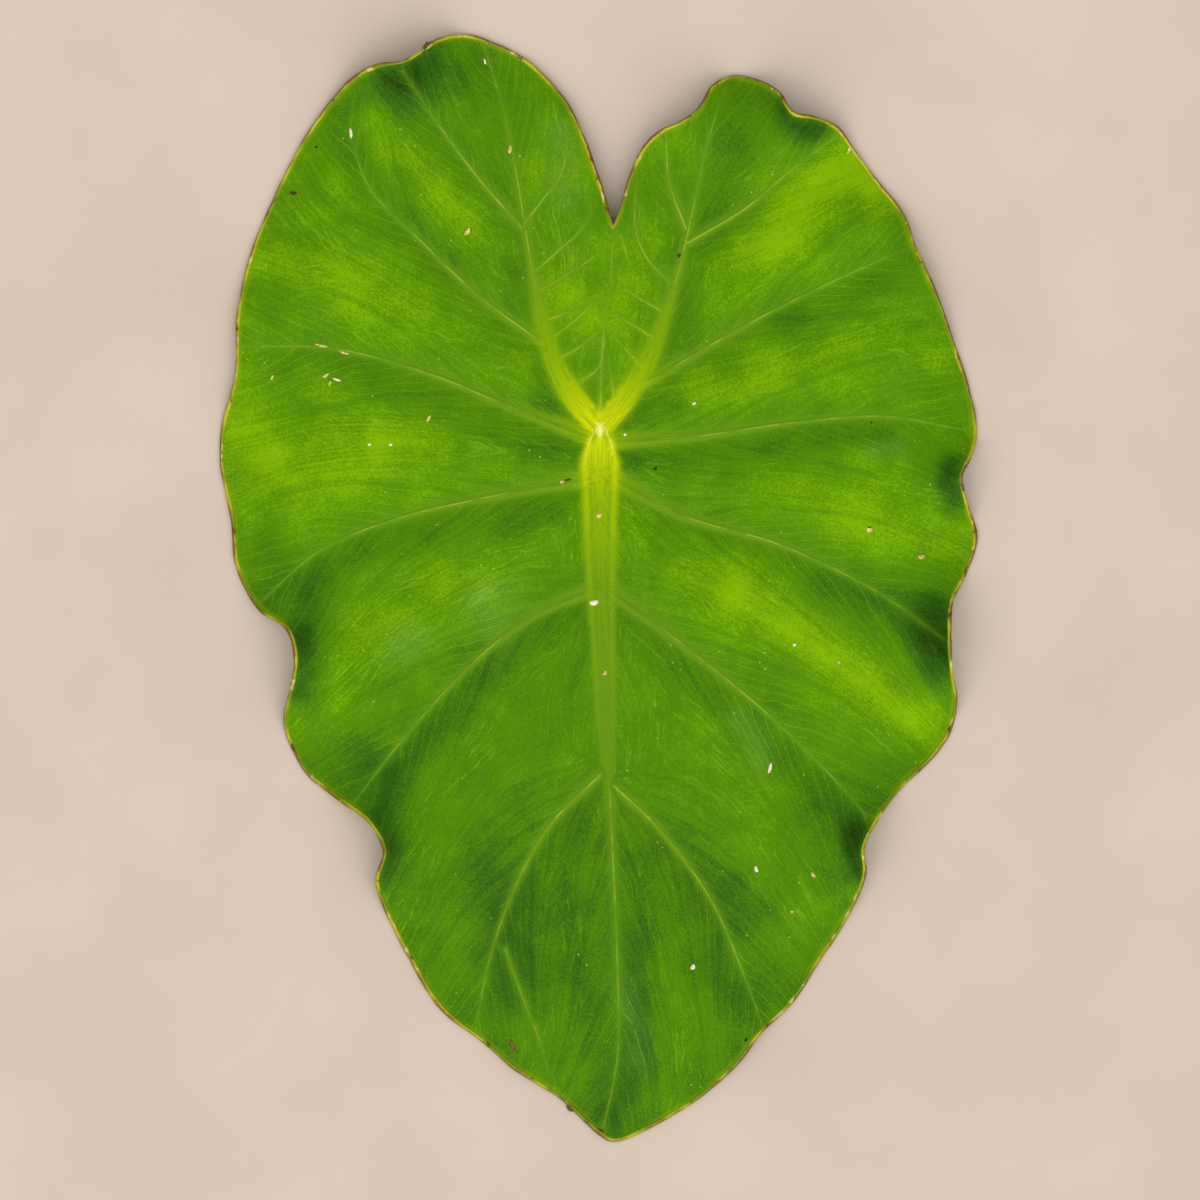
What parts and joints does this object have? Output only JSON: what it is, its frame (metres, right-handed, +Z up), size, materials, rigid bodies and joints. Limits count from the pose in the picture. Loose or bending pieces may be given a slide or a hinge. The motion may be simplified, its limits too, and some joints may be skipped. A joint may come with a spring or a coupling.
{
  "type": "elephant ear leaf",
  "caption": "Large heart-shaped leaf with two rounded lobes, a waved margin and ribs standing out below, lying face up as picked.",
  "frame": {"origin": "centre of the leaf's box seen from above, on the surface that it lies on", "axes": "+Y from the tip towards the two lobes, +X to the right seen from above, +Z up out of the upper face"},
  "size_m": [0.251, 0.368, 0.0177],
  "materials": {
    "leaf_green": "fresh leaf tissue, satin, bright green with yellow-green veins and rim, paler and matt below"
  },
  "bodies": {
    "root": {"elephant_ear_leaf": "leaf_green"}
  },
  "joints": []
}
